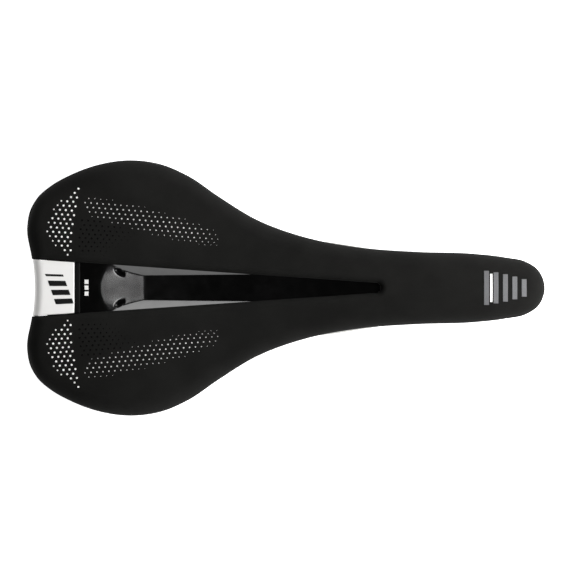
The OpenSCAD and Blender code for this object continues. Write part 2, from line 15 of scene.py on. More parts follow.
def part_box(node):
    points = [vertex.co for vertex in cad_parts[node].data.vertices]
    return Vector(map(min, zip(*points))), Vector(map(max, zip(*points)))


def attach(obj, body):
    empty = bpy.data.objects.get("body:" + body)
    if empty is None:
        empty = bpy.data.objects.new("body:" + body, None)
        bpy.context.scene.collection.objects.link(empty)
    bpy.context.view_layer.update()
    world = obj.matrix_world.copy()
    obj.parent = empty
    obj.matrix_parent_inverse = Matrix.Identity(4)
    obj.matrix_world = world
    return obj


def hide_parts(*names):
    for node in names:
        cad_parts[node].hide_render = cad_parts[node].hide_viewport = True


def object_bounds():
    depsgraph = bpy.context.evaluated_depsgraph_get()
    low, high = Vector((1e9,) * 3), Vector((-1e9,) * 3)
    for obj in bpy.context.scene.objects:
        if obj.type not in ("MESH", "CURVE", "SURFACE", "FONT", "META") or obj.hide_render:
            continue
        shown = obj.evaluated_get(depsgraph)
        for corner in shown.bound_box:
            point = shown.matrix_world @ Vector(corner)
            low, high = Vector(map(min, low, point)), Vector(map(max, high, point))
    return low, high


bl_info = {
    "name": "Road saddle",
    "version": (1, 0, 0),
    "blender": (4, 5, 0),
    "location": "View3D > Sidebar > Saddle",
    "description": "Builds a road saddle's padded top, relief channel, prints and finishes",
    "category": "Object",
}

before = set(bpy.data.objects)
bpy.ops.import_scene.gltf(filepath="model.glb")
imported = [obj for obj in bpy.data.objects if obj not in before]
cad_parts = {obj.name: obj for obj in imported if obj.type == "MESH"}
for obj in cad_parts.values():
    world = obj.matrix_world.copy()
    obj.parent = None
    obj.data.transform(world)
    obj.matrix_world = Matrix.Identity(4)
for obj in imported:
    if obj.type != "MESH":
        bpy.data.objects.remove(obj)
CAD_LOW, CAD_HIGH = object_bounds()

MM = 0.001
BODY = "root"

# ---- the saddle's form ----

TAIL_TO_CLAMP = float(round(-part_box("cover")[0].x / MM))  # from the tail to the frame's origin
STACK = 41.5  # height of the sitting surface at the waist
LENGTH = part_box("cover")[1].x / MM + TAIL_TO_CLAMP
HALF_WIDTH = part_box("cover")[1].y / MM

# Half outline, from the middle of the tail round the wing to the nose tip, as it was drawn for
# a saddle of the drawn length and half width.
DRAWN_LENGTH, DRAWN_HALF_WIDTH = 273, 67.5
OUTLINE = [Vector((d * LENGTH / DRAWN_LENGTH, y * HALF_WIDTH / DRAWN_HALF_WIDTH)) for d, y in (
    (3.9, 0), (2.6, 15), (0, 31.5), (1.6, 41), (5.5, 47.8), (12.5, 54), (22, 59.4), (36, 64.8),
    (54, 67.5), (70, 65.4), (84, 59.4), (100, 48.6), (120, 36.4), (145, 27.2), (175, 21.5),
    (205, 19.2), (235, 18.2), (252, 16.3), (263, 14), (269.5, 9.6), (273, 0))]
WING = 3  # outline index where the tail turns into the wing
TIP = len(OUTLINE) - 1
SLOT_INDEX = 14  # outline index just behind the channel's front end
SLOT_END = SLOT_INDEX + 0.36  # outline parameter level with the channel's front end
NOSE_HUB = 258 * LENGTH / DRAWN_LENGTH  # the nose's sections fan out from this point
BOW_SPAN = 3  # outline steps over which sections lose the tail's bow
CORNER_SPAN = 2  # outline steps over which sections lose the inset from the tail

SLOT_TAIL = 15.2  # half width of the channel at the tail
SLOT_TAPER = 0.0687  # half width lost for each millimetre forward
SLOT_FRONT = 185.7
SLOT_END_R = (SLOT_TAIL - SLOT_TAPER * SLOT_FRONT) / (1 - SLOT_TAPER)
SLOT_CENTRE = SLOT_FRONT - SLOT_END_R

COVER_T = 1.0
PAD_H = 12.0  # cover and foam together
SHELL_T = 2.6
UNDER_SHELL = PAD_H + SHELL_T
EDGE_R = 8.5  # rounding of the outer edge
SLOT_R = 3.5  # rounding of the channel's edge
EDGE_BLEND = 4  # softens the corner between the tail's edge and the wing's
HEM_W = 6.0
GAP = 0.01  # between pieces that touch


def tangents(points):
    """Tangent at each point of a chain, from the parabola through it and its neighbours."""
    steps = [b - a for a, b in zip(points, points[1:])]
    found = [steps[0] / steps[0].length]
    for back, ahead in zip(steps, steps[1:]):
        h0, h1 = back.length, ahead.length
        found.append((ahead * h0 / h1 + back * h1 / h0) / (h0 + h1))
    return found + [steps[-1] / steps[-1].length]


def hermite(a, a_slope, b, b_slope, f):
    """Point at share f of the cubic from a to b with those slopes."""
    return (a * (1 + 2 * f) * (1 - f) ** 2 + a_slope * f * (1 - f) ** 2
            + b * f * f * (3 - 2 * f) + b_slope * f * f * (f - 1))


def smooth(f):
    """Smooth step from 0 to 1."""
    f = min(max(f, 0.0), 1.0)
    return f * f * (3 - 2 * f)


def mix(a, b, f):
    """The value or point at share f of the way from a to b."""
    return a + (b - a) * f


def lookup(x, table):
    """Value at x on straight lines through (x, value) points."""
    if x <= table[0][0]:
        return table[0][1]
    for (x0, v0), (x1, v1) in zip(table, table[1:]):
        if x <= x1:
            return mix(v0, v1, (x - x0) / (x1 - x0))
    return table[-1][1]


class Profile:
    """A smooth value along the saddle, through (distance from the tail, value) points."""

    def __init__(self, *points):
        self.points = [Vector(p) for p in points]
        self.tangents = tangents(self.points)

    def __call__(self, d):
        last = len(self.points) - 2
        i = min(max(sum(p.x <= d for p in self.points) - 1, 0), last)
        a, b = self.points[i], self.points[i + 1]
        h = b.x - a.x
        slopes = [h * t.y / t.x for t in self.tangents[i:i + 2]]
        return hermite(a.y, slopes[0], b.y, slopes[1], min(max((d - a.x) / h, 0), 1))


# The sitting surface's height over its waist and its curvature from side to side, the depth of
# the shell's rim below that surface, and the width of the cover's hem.
RISE = Profile((0, 17.5), (45, 13.125), (90, 4.725), (140, 0), (200, 0.7), (245, -0.5),
               (LENGTH, -5))
CROWN = Profile((0, 0.0044), (60, 0.0044), (136, 0.011), (200, 0.018), (LENGTH, 0.018))
RIM = Profile((0, UNDER_SHELL + 0.8), (110, UNDER_SHELL + 0.8), (180, UNDER_SHELL + 6),
              (LENGTH, UNDER_SHELL + 6))
HEM = Profile((0, HEM_W), (150, HEM_W), (200, SHELL_T), (LENGTH, SHELL_T))
OUTLINE_TANGENTS = tangents(OUTLINE)
OUTLINE_TANGENTS[0] = Vector((0, 1))  # the outline crosses the middle line squarely
OUTLINE_TANGENTS[TIP] = Vector((0, -1))


def seat_z(d, y):
    """Height of the sitting surface, before its edges are rounded."""
    return STACK + RISE(d) - CROWN(d) * y * y / 2


def outline(t):
    """Point of the half outline at a parameter that counts its points."""
    i = min(int(t), TIP - 1)
    a, b = OUTLINE[i], OUTLINE[i + 1]
    h = (b - a).length
    return hermite(a, h * OUTLINE_TANGENTS[i], b, h * OUTLINE_TANGENTS[i + 1], t - i)


def outline_out(t):
    """Outward direction of the outline."""
    if t >= TIP:
        return Vector((1, 0))
    run = (outline(t + 0.01) - outline(t - 0.01)).normalized()
    return Vector((-run.y, run.x))


def slot_half(d):
    """Half width of the channel, which has a round front end."""
    if d >= SLOT_FRONT:
        return 0.0
    if d <= SLOT_CENTRE:
        return SLOT_TAIL - SLOT_TAPER * d
    return math.sqrt(SLOT_END_R ** 2 - (d - SLOT_CENTRE) ** 2)


def slot_away(d):
    """Direction away from the channel at its side."""
    if d <= SLOT_CENTRE:
        return Vector((SLOT_TAPER, 1)).normalized()
    return Vector((d - SLOT_CENTRE, slot_half(d))).normalized()


def slot_gap(p):
    """Distance of a point in plan from the channel's side or its round front end."""
    if p.x > SLOT_CENTRE:
        return math.hypot(p.x - SLOT_CENTRE, p.y) - SLOT_END_R
    return (p.y - SLOT_TAIL + SLOT_TAPER * p.x) / math.hypot(1, SLOT_TAPER)


INNER = ([(WING, OUTLINE[1].x)]
         + [(i, OUTLINE[i].x) for i in range(WING + 1, SLOT_INDEX + 1)]
         + [(SLOT_END, SLOT_FRONT), (SLOT_INDEX + 1, 206), (TIP - 4, 232), (TIP, NOSE_HUB)])


def inner(t, inset):
    """Inner end of a section: beside the channel, and in front of it on the middle line."""
    d = lookup(t, INNER)
    if t >= SLOT_END:
        share = (d - SLOT_FRONT) / (NOSE_HUB - SLOT_FRONT)
        return Vector((mix(SLOT_FRONT + inset, NOSE_HUB, share), 0))
    corner = inset * max(1 - (t - WING) / CORNER_SPAN, 0)
    return Vector((d + corner, slot_half(d))) + inset * slot_away(d)


def outer(t, inset):
    """Outer end of a section, on the outline."""
    return outline(t) - inset * outline_out(t)


def tail_edge(v):
    """Point of the tail's edge at share v from beside the channel to the wing."""
    return outline(1 + v * (WING - 1))


def tail_bow(t, v):
    """How far the bow of the tail's edge moves a section's point from its straight line."""
    bow = 1 - smooth((t - WING) / BOW_SPAN)
    return bow * (tail_edge(v) - mix(OUTLINE[1], OUTLINE[WING], v))


def plan_point(t, v, inset):
    """Point in plan at share v of the section at outline parameter t."""
    return mix(inner(t, inset), outer(t, inset), v) + tail_bow(t, v)


def rounding(r, e):
    """Drop of a rounded edge of radius r at distance e inside it."""
    if r <= 0:
        return 0.0
    return r - math.sqrt(r * r - max(r - max(e, 0), 0) ** 2)


def soft_min(a, b, k):
    """The smaller of two values, rounded off where they differ by less than k."""
    return min(a, b) - max(k - abs(a - b), 0) ** 2 / (4 * k)


def place(p, z):
    """A point at plan point p, in the frame's millimetres."""
    return Vector((p.x - TAIL_TO_CLAMP, p.y, z))


def seat_frame(d, y, depth):
    """Matrix of the sitting surface's tangent plane, lowered by depth, with Z along its normal.

    Each slope is the rise over one millimetre.
    """
    slope_x = seat_z(d + 0.5, y) - seat_z(d - 0.5, y)
    slope_y = seat_z(d, y + 0.5) - seat_z(d, y - 0.5)
    x_axis = Vector((1, 0, slope_x)).normalized()
    z_axis = Vector((-slope_x, -slope_y, 1)).normalized()
    y_axis = z_axis.cross(x_axis)
    turn = Matrix((x_axis, y_axis, z_axis)).transposed().to_4x4()
    origin = Vector((d - TAIL_TO_CLAMP, y, seat_z(d, y) - depth))
    return Matrix.Translation(origin) @ turn


# ---- grids of the left half ----

def stepped(*stops):
    """Values from stop to stop, where each stop is (value, steps to the next)."""
    values = []
    for (value, steps), (after, _) in zip(stops, stops[1:]):
        values += [mix(value, after, k / steps) for k in range(steps)]
    return values + [stops[-1][0]]


# Outline parameters of the sections, closer together round the channel's front end.
SECTIONS = stepped((WING, 7), (3.4, 7), (4, 100), (SLOT_INDEX, 6), (14.26, 5), (14.32, 4),
                   (14.348, 4), (SLOT_END, 12), (14.48, 8), (SLOT_INDEX + 1, 40), (TIP - 1, 12),
                   (TIP, 0))
# Distances of a section's points from its two ends, with evenly spaced points between them.
FROM_SLOT = (0, 0.25, 0.6, 1.0, 1.5, 2.1, 2.8, 3.6)
FROM_EDGE = (0, 0.15, 0.45, 0.9, 1.5, 2.2, 3.0, 4.0, 5.0, 6.2, 7.4, 8.8)
MIDDLE = 24


def columns(length):
    """Shares of a section's length at which its points lie, closer together near its ends."""
    start, end = FROM_SLOT[-1] / length, 1 - FROM_EDGE[-1] / length
    return ([e / length for e in FROM_SLOT]
            + [mix(start, end, k / MIDDLE) for k in range(1, MIDDLE)]
            + [1 - e / length for e in reversed(FROM_EDGE)])


def half_grid(inset, depth, rounded):
    """Rows of points of the left half, inset from the outline, below the sitting surface."""
    rows = []
    for t in SECTIONS:
        a, b = inner(t, inset), outer(t, inset)
        out = outline_out(t)
        on_middle = t >= SLOT_END
        row = []
        for v in columns((b - a).length):
            p = mix(a, b, v) + tail_bow(t, v)
            down = down_slot = 0.0
            if rounded:
                to_tail = p.x - tail_edge(v).x - inset
                down = rounding(EDGE_R - inset, soft_min(to_tail, (b - p).dot(out), EDGE_BLEND))
                down_slot = rounding(SLOT_R - inset, slot_gap(p) - inset)
            # A high power lets the larger drop win, with a soft seam where the two meet.
            z = seat_z(p.x, p.y) - depth - (down ** 4 + down_slot ** 4) ** 0.25
            if t == TIP or on_middle and v == 0:
                p.y = 0
            row.append(place(p, z))
        rows.append(row)
    return rows


SLOT_ROW = SECTIONS.index(SLOT_END)
TAIL_SHARES = columns((outer(WING, 0) - inner(WING, 0)).length)
# The edge of a half grid: back along the channel, across the tail, forward round the outside.
LOOP = ([(SECTIONS[i], 0.0) for i in range(SLOT_ROW, -1, -1)]
        + [(WING, v) for v in TAIL_SHARES[1:]] + [(t, 1.0) for t in SECTIONS[1:]])


def grid_edge(rows):
    """The points of a half grid along LOOP."""
    return ([rows[i][0] for i in range(SLOT_ROW, -1, -1)] + rows[0][1:]
            + [row[-1] for row in rows[1:]])


def ring(inset, more, wave=None):
    """A loop under the edge, at the shell rim's depth plus more. Inset may be a function."""
    points = []
    for k, (t, v) in enumerate(LOOP):
        w = inset(k) if callable(inset) else inset
        p = plan_point(t, v, w)
        if k in (0, len(LOOP) - 1):
            p.y = 0
        lift = wave(k) if wave else 0.0
        points.append(place(p, seat_z(p.x, p.y) - RIM(p.x) - more + lift))
    return points


def between(a, b, share):
    """A loop at a share of the way from one loop to another."""
    return [mix(p, q, share) for p, q in zip(a, b)]


# ---- bmesh helpers ----

TOUCH = 0.003  # points closer than this are joined


def add_sheet(bm, rows):
    """A grid of faces through rows of points."""
    across, along = len(rows[0]) - 1, len(rows) - 1
    made = bmesh.ops.create_grid(bm, x_segments=across, y_segments=along, size=1.0)["verts"]
    for vert in made:
        column = round((vert.co.x + 1) / 2 * across)
        row = round((vert.co.y + 1) / 2 * along)
        vert.co = rows[row][column]
    return made


def close_up(bm):
    """Joins what touches, and turns the faces outwards."""
    bmesh.ops.remove_doubles(bm, verts=bm.verts, dist=TOUCH)
    bmesh.ops.dissolve_degenerate(bm, edges=bm.edges, dist=TOUCH / 10)
    bmesh.ops.recalc_face_normals(bm, faces=bm.faces)


def lofted(top, rings, bottom):
    """A closed solid from a top grid, rings down its edge and a bottom grid, with both halves."""
    bm = bmesh.new()
    add_sheet(bm, top)
    add_sheet(bm, [grid_edge(top), *rings, grid_edge(bottom)])
    add_sheet(bm, bottom)
    bmesh.ops.remove_doubles(bm, verts=bm.verts, dist=TOUCH)
    everything = bm.verts[:] + bm.edges[:] + bm.faces[:]
    bmesh.ops.mirror(bm, geom=everything, matrix=Matrix.Identity(4), merge_dist=TOUCH, axis="Y")
    close_up(bm)
    return bm


def border(rows):
    """The points round the edge of a grid, from its first corner back to it."""
    return (rows[0] + [row[-1] for row in rows[1:]] + rows[-1][-2::-1]
            + [row[0] for row in rows[-2::-1]])


def slab(rows, thickness):
    """A closed sheet of that thickness under rows of points."""
    under = [[p - Vector((0, 0, thickness)) for p in row] for row in rows]
    bm = bmesh.new()
    add_sheet(bm, rows)
    add_sheet(bm, [border(rows), border(under)])
    add_sheet(bm, under)
    close_up(bm)
    return bm


def face_up(bm):
    """Turns an open sheet over if it faces down."""
    if sum(face.normal.z for face in bm.faces) < 0:
        bmesh.ops.reverse_faces(bm, faces=bm.faces)


def join_into(bm, part):
    """Adds a bmesh to another and frees it."""
    mesh = bpy.data.meshes.new("part")
    part.to_mesh(mesh)
    part.free()
    bm.from_mesh(mesh)
    bpy.data.meshes.remove(mesh)


def bevel_sharp(bm, width, segments, angle=30):
    """Rounds the edges that turn by more than an angle in degrees."""
    sharp = [e for e in bm.edges if e.calc_face_angle(0) > math.radians(angle)]
    bmesh.ops.bevel(bm, geom=sharp, offset=width, segments=segments, profile=0.5,
                    affect="EDGES", material=-1, clamp_overlap=True)


def finish_piece(name, bm, finish, nodes=(), sharp_angle=38):
    """Makes a bmesh in millimetres a piece of the saddle, in metres and on its body."""
    bmesh.ops.scale(bm, vec=(MM, MM, MM), verts=bm.verts)
    for face in bm.faces:
        face.smooth = True
    for edge in bm.edges:
        edge.smooth = edge.calc_face_angle(0) < math.radians(sharp_angle)
    mesh = bpy.data.meshes.new(name)
    bm.to_mesh(mesh)
    bm.free()
    mesh.materials.append(finish)
    piece = bpy.data.objects.new(name, mesh)
    bpy.context.scene.collection.objects.link(piece)
    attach(piece, BODY)
    if nodes:
        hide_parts(*nodes)
    return piece


# ---- finishes ----

def colour(text):
    """Linear RGBA of an sRGB hex colour."""
    parts = [int(text[i:i + 2], 16) / 255 for i in (1, 3, 5)]
    return [c / 12.92 if c <= 0.04045 else ((c + 0.055) / 1.055) ** 2.4 for c in parts] + [1]


def shade(tone, factor):
    """A colour made darker or lighter by a factor."""
    return [c * factor for c in tone[:3]] + [1]


def add_node(tree, kind, inputs=None, stops=(), **settings):
    """Adds a node, sets its properties and colour stops, and sets or links its inputs."""
    made = tree.nodes.new(kind)
    for name, value in settings.items():
        setattr(made, name, value)
    for name, value in (inputs or {}).items():
        if isinstance(value, bpy.types.NodeSocket):
            tree.links.new(value, made.inputs[name])
        else:
            made.inputs[name].default_value = value
    for k, (position, tone) in enumerate(stops):
        made.color_ramp.elements[k].position = position
        made.color_ramp.elements[k].color = tone
    return made


def new_finish(name, **shader):
    """A material with its shader, and its object coordinates socket. Size 1 is a metre."""
    material = bpy.data.materials.new(name)
    material.use_nodes = True
    tree = material.node_tree
    tree.nodes.clear()
    inputs = {key.replace("_", " "): value for key, value in shader.items()}
    surface = add_node(tree, "ShaderNodeBsdfPrincipled", inputs)
    add_node(tree, "ShaderNodeOutputMaterial", {"Surface": surface.outputs[0]})
    place_at = add_node(tree, "ShaderNodeTexCoord").outputs["Object"]
    return material, tree, surface, place_at


def microfibre(hex_colour):
    """Synthetic suede: a short nap that scatters light evenly, a little uneven in tone."""
    material, tree, surface, at = new_finish(
        "black_microfibre", Roughness=0.92, Specular_IOR_Level=0.08, Sheen_Weight=0.006,
        Sheen_Roughness=0.5, Sheen_Tint=colour("#c9c9c5"))
    fibre = add_node(tree, "ShaderNodeTexNoise",
                     {"Vector": at, "Scale": 1 / (0.55 * MM), "Detail": 4, "Roughness": 0.7})
    tone = add_node(tree, "ShaderNodeTexNoise",
                    {"Vector": at, "Scale": 1 / (16 * MM), "Detail": 3})
    both = add_node(tree, "ShaderNodeMath",
                    {0: fibre.outputs["Fac"], 1: 0.5, 2: tone.outputs["Fac"]},
                    operation="MULTIPLY_ADD")
    base = colour(hex_colour)
    ramp = add_node(tree, "ShaderNodeValToRGB", {"Fac": both.outputs[0]},
                    ((0.55, shade(base, 0.82)), (0.95, shade(base, 1.18))))
    bump = add_node(tree, "ShaderNodeBump",
                    {"Strength": 0.35, "Distance": 0.12 * MM, "Height": fibre.outputs["Fac"]})
    tree.links.new(ramp.outputs["Color"], surface.inputs["Base Color"])
    tree.links.new(bump.outputs["Normal"], surface.inputs["Normal"])
    return material


def gloss_plastic(name, hex_colour, roughness):
    """Polished injection-moulded ABS: mirror-like, with the faint swell that moulding leaves."""
    material, tree, surface, at = new_finish(name, Base_Color=colour(hex_colour), IOR=1.53)
    swell = add_node(tree, "ShaderNodeTexNoise",
                     {"Vector": at, "Scale": 1 / (9 * MM), "Detail": 1})
    smear = add_node(tree, "ShaderNodeTexNoise",
                     {"Vector": at, "Scale": 1 / (6 * MM), "Detail": 3, "Roughness": 0.5})
    shine = add_node(tree, "ShaderNodeMapRange",
                     {"Value": smear.outputs["Fac"], "From Min": 0.35, "From Max": 0.75,
                      "To Min": roughness, "To Max": roughness + 0.05})
    bump = add_node(tree, "ShaderNodeBump",
                    {"Strength": 0.25, "Distance": 0.05 * MM, "Height": swell.outputs["Fac"]})
    tree.links.new(shine.outputs["Result"], surface.inputs["Roughness"])
    tree.links.new(bump.outputs["Normal"], surface.inputs["Normal"])
    return material


def grained_plastic(name, hex_colour, grain, roughness, specular=0.4):
    """Glass-filled nylon from a spark-eroded mould: an even grain with pale flecks of fibre."""
    material, tree, surface, at = new_finish(name, Specular_IOR_Level=specular)
    pits = add_node(tree, "ShaderNodeTexVoronoi",
                    {"Vector": at, "Scale": 1 / (grain * MM), "Smoothness": 0.6},
                    feature="SMOOTH_F1")
    flow = add_node(tree, "ShaderNodeTexNoise",
                    {"Vector": at, "Scale": 1 / (7 * MM), "Detail": 4, "Distortion": 1.2})
    base = colour(hex_colour)
    ramp = add_node(tree, "ShaderNodeValToRGB", {"Fac": flow.outputs["Fac"]},
                    ((0.3, shade(base, 0.75)), (0.75, shade(base, 1.35))))
    shine = add_node(tree, "ShaderNodeMapRange",
                     {"Value": flow.outputs["Fac"], "From Min": 0.3, "From Max": 0.7,
                      "To Min": roughness, "To Max": roughness + 0.12})
    bump = add_node(tree, "ShaderNodeBump",
                    {"Strength": 0.5, "Distance": 0.06 * MM, "Height": pits.outputs["Distance"]})
    tree.links.new(ramp.outputs["Color"], surface.inputs["Base Color"])
    tree.links.new(shine.outputs["Result"], surface.inputs["Roughness"])
    tree.links.new(bump.outputs["Normal"], surface.inputs["Normal"])
    return material


def drawn_rail():
    """Drawn manganese steel, polished along its length, with lines etched where it is clamped."""
    material, tree, surface, at = new_finish("drawn_rail_steel", Metallic=1.0)
    along = add_node(tree, "ShaderNodeMapping",
                     {"Vector": at, "Scale": (1 / (22 * MM), 1 / (0.5 * MM), 1 / (0.5 * MM))})
    streaks = add_node(tree, "ShaderNodeTexNoise",
                       {"Vector": along.outputs["Vector"], "Scale": 1.0, "Detail": 3})
    ramp = add_node(tree, "ShaderNodeValToRGB", {"Fac": streaks.outputs["Fac"]},
                    ((0.25, colour("#8f8f8c")), (0.8, colour("#bdbdba"))))
    parts = add_node(tree, "ShaderNodeSeparateXYZ", {"Vector": at})
    beat = add_node(tree, "ShaderNodeMath", {0: parts.outputs["X"], 1: 2.5 * MM},
                    operation="PINGPONG")
    line = add_node(tree, "ShaderNodeMath", {0: beat.outputs[0], 1: 0.22 * MM},
                    operation="LESS_THAN")
    reach = add_node(tree, "ShaderNodeMath", {0: parts.outputs["X"]}, operation="ABSOLUTE")
    inside = add_node(tree, "ShaderNodeMath", {0: reach.outputs[0], 1: 36 * MM},
                      operation="LESS_THAN")
    above = add_node(tree, "ShaderNodeMath", {0: parts.outputs["Z"], 1: 2.2 * MM},
                     operation="GREATER_THAN")
    marked = add_node(tree, "ShaderNodeMath", {0: line.outputs[0], 1: inside.outputs[0]},
                      operation="MULTIPLY")
    etched = add_node(tree, "ShaderNodeMath", {0: marked.outputs[0], 1: above.outputs[0]},
                      operation="MULTIPLY")
    tint = add_node(tree, "ShaderNodeMix",
                    {"Factor": etched.outputs[0], 6: ramp.outputs["Color"], 7: colour("#3a3a3a")},
                    data_type="RGBA")
    shine = add_node(tree, "ShaderNodeMapRange",
                     {"Value": streaks.outputs["Fac"], "To Min": 0.2, "To Max": 0.38})
    bump = add_node(tree, "ShaderNodeBump",
                    {"Strength": 0.15, "Distance": 0.02 * MM, "Height": streaks.outputs["Fac"]})
    tree.links.new(tint.outputs[2], surface.inputs["Base Color"])
    tree.links.new(shine.outputs["Result"], surface.inputs["Roughness"])
    tree.links.new(bump.outputs["Normal"], surface.inputs["Normal"])
    return material


def zinc_plate():
    """Bright zinc plate on screws, nuts and staples: soft-edged spangles, slightly cloudy."""
    material, tree, surface, at = new_finish("zinc_plate", Metallic=1.0)
    spangle = add_node(tree, "ShaderNodeTexVoronoi", {"Vector": at, "Scale": 1 / (1.1 * MM)})
    cloud = add_node(tree, "ShaderNodeTexNoise",
                     {"Vector": at, "Scale": 1 / (0.7 * MM), "Detail": 5})
    ramp = add_node(tree, "ShaderNodeValToRGB", {"Fac": cloud.outputs["Fac"]},
                    ((0.3, colour("#7f8286")), (0.75, colour("#b4b6b8"))))
    shine = add_node(tree, "ShaderNodeMapRange",
                     {"Value": spangle.outputs["Distance"], "To Min": 0.25, "To Max": 0.42})
    tree.links.new(ramp.outputs["Color"], surface.inputs["Base Color"])
    tree.links.new(shine.outputs["Result"], surface.inputs["Roughness"])
    return material


def elastomer():
    """Moulded polyurethane bush: matt, with the bloom that comes to the surface of rubber."""
    material, tree, surface, at = new_finish("bush_elastomer", Roughness=0.7,
                                             Specular_IOR_Level=0.3)
    bloom = add_node(tree, "ShaderNodeTexNoise",
                     {"Vector": at, "Scale": 1 / (1.5 * MM), "Detail": 6})
    ramp = add_node(tree, "ShaderNodeValToRGB", {"Fac": bloom.outputs["Fac"]},
                    ((0.35, colour("#242424")), (0.8, colour("#474745"))))
    tree.links.new(ramp.outputs["Color"], surface.inputs["Base Color"])
    return material


def open_cell_foam():
    """Moulded polyurethane foam: a cream skin over open cells about a millimetre across, with
    painted shade darkening the cells' pits.
    """
    material, tree, surface, at = new_finish("seat_foam", Roughness=0.95,
                                             Specular_IOR_Level=0.15)
    cells = add_node(tree, "ShaderNodeTexVoronoi", {"Vector": at, "Scale": 1 / (1.0 * MM)})
    # Painted shade: the cells' pits, which are low in the bump, are coloured darker tan than the
    # cream skin between them.
    ramp = add_node(tree, "ShaderNodeValToRGB", {"Fac": cells.outputs["Distance"]},
                    ((0.0, colour("#a8975f")), (0.6, colour("#e0d39b"))))
    bump = add_node(tree, "ShaderNodeBump",
                    {"Strength": 0.8, "Distance": 0.3 * MM, "Height": cells.outputs["Distance"]})
    tree.links.new(ramp.outputs["Color"], surface.inputs["Base Color"])
    tree.links.new(bump.outputs["Normal"], surface.inputs["Normal"])
    return material


def ink(name, hex_colour, roughness):
    """Screen-printed ink on microfibre: opaque, a little broken by the nap under it."""
    material, tree, surface, at = new_finish(name, Roughness=roughness, Specular_IOR_Level=0.4)
    nap = add_node(tree, "ShaderNodeTexNoise",
                   {"Vector": at, "Scale": 1 / (0.5 * MM), "Detail": 3})
    base = colour(hex_colour)
    ramp = add_node(tree, "ShaderNodeValToRGB", {"Fac": nap.outputs["Fac"]},
                    ((0.3, shade(base, 0.8)), (0.6, base)))
    tree.links.new(ramp.outputs["Color"], surface.inputs["Base Color"])
    return material


# ---- settings ----

class SaddleSettings(bpy.types.PropertyGroup):
    """Sizes and colours that can be changed before the pieces are built."""

    cover_colour: StringProperty(
        name="Cover", description="Colour of the microfibre cover", default="#131312")
    badge_colour: StringProperty(
        name="Badge", description="Colour of the tail badge", default="#eae9e7")
    gloss_colour: StringProperty(
        name="Channel", description="Colour of the gloss relief channel", default="#020202")
    shell_colour: StringProperty(
        name="Shell", description="Colour of the moulded shell", default="#1c1c1e")
    emblem_colour: StringProperty(
        name="Nose bars", description="Colour of the bars printed on the nose", default="#525254")
    dot_diameter: FloatProperty(
        name="Dot diameter", description="Diameter of the largest printed dots",
        default=1.15 * MM, min=0.5 * MM, max=2 * MM, subtype="DISTANCE", unit="LENGTH")
    dot_pitch: FloatProperty(
        name="Dot pitch", description="Distance between printed dots along the saddle",
        default=3.1 * MM, min=2 * MM, max=6 * MM, subtype="DISTANCE", unit="LENGTH")
    pleat_depth: FloatProperty(
        name="Pleat depth", description="Height of the small pleats in the cover's hem",
        default=0.35 * MM, min=0, max=1 * MM, subtype="DISTANCE", unit="LENGTH")


# ---- padded top ----

HEM_BY_SLOT = 0.35  # the hem's width beside the channel, as a share of its width outside
HEM_WIDENS = 0.4  # share of the tail's edge over which it gets wider
PLEAT_RATE = 1.5  # radians of a pleat's wave for each millimetre along the rim
PLEAT_CALM = 0.25  # share of the pleats' height along the waist
WAIST = (9, 17)  # outline parameters between which the outline hardly bends


def hem_inset(k):
    """Inset of the hem's raw edge along the loop: narrow by the channel, wide outside."""
    t, v = LOOP[k]
    share = 1.0
    if v == 0:
        share = HEM_BY_SLOT
    elif t == WING:
        share = mix(HEM_BY_SLOT, 1.0, smooth(v / HEM_WIDENS))
    return COVER_T + share * HEM(lookup(t, INNER))


class SADDLE_OT_cover(bpy.types.Operator):
    """Build the microfibre cover, pulled over the foam and turned under the shell"""

    bl_idname = "saddle.cover"
    bl_label = "Cover"

    def execute(self, context):
        settings = context.scene.saddle
        top = half_grid(0, 0, True)
        under = half_grid(COVER_T, COVER_T, True)
        edge = grid_edge(top)
        rim = ring(0.0, 0.1)
        along = [0.0]
        for a, b in zip(rim, rim[1:]):
            along.append(along[-1] + (b - a).length)
        height = settings.pleat_depth / MM

        def pleat(k):
            """Folds where the hem is gathered, strongest where the outline bends."""
            t, v = LOOP[k]
            tight = PLEAT_CALM if WAIST[0] <= t <= WAIST[1] else 1.0
            wave = max(math.sin(along[k] * PLEAT_RATE), 0)
            return 0.0 if v < 1 else -height * tight * wave

        # Over the edge, round the rim, in under the shell and back up inside.
        rings = [between(edge, rim, 0.3), between(edge, rim, 0.6), between(edge, rim, 0.85), rim,
                 ring(0.12, 0.55), ring(0.5, 0.88), ring(1.1, COVER_T),
                 ring(lambda k: 0.55 * hem_inset(k) + 0.5, COVER_T, pleat),
                 ring(hem_inset, COVER_T, pleat), ring(hem_inset, 0.05),
                 ring(COVER_T, 0.05)]
        piece = finish_piece("saddle_cover", lofted(top, rings, under),
                             microfibre(settings.cover_colour), ["cover"])
        return {"FINISHED"}


class SADDLE_OT_foam(bpy.types.Operator):
    """Build the foam that fills the space between the cover and the shell"""

    bl_idname = "saddle.foam"
    bl_label = "Foam"

    def execute(self, context):
        skin = COVER_T + GAP
        bm = lofted(half_grid(skin, skin, True), [], half_grid(skin, PAD_H, False))
        piece = finish_piece("foam_pad", bm, open_cell_foam(), ["padding"])
        return {"FINISHED"}


class SADDLE_OT_shell(bpy.types.Operator):
    """Build the moulded shell with its rim"""

    bl_idname = "saddle.shell"
    bl_label = "Shell"

    def execute(self, context):
        wall = COVER_T + 2 * GAP
        top = half_grid(wall, PAD_H + GAP, False)
        bottom = half_grid(wall + SHELL_T, UNDER_SHELL, False)
        rings = [ring(wall, -0.4), ring(wall + 0.35, -0.02), ring(wall + SHELL_T - 0.4, -0.02),
                 ring(wall + SHELL_T, -0.35)]
        finish_piece("moulded_shell", lofted(top, rings, bottom),
                     grained_plastic("shell_nylon", context.scene.saddle.shell_colour, 0.55, 0.5),
                     ["base_shell"])
        return {"FINISHED"}


# ---- relief channel ----

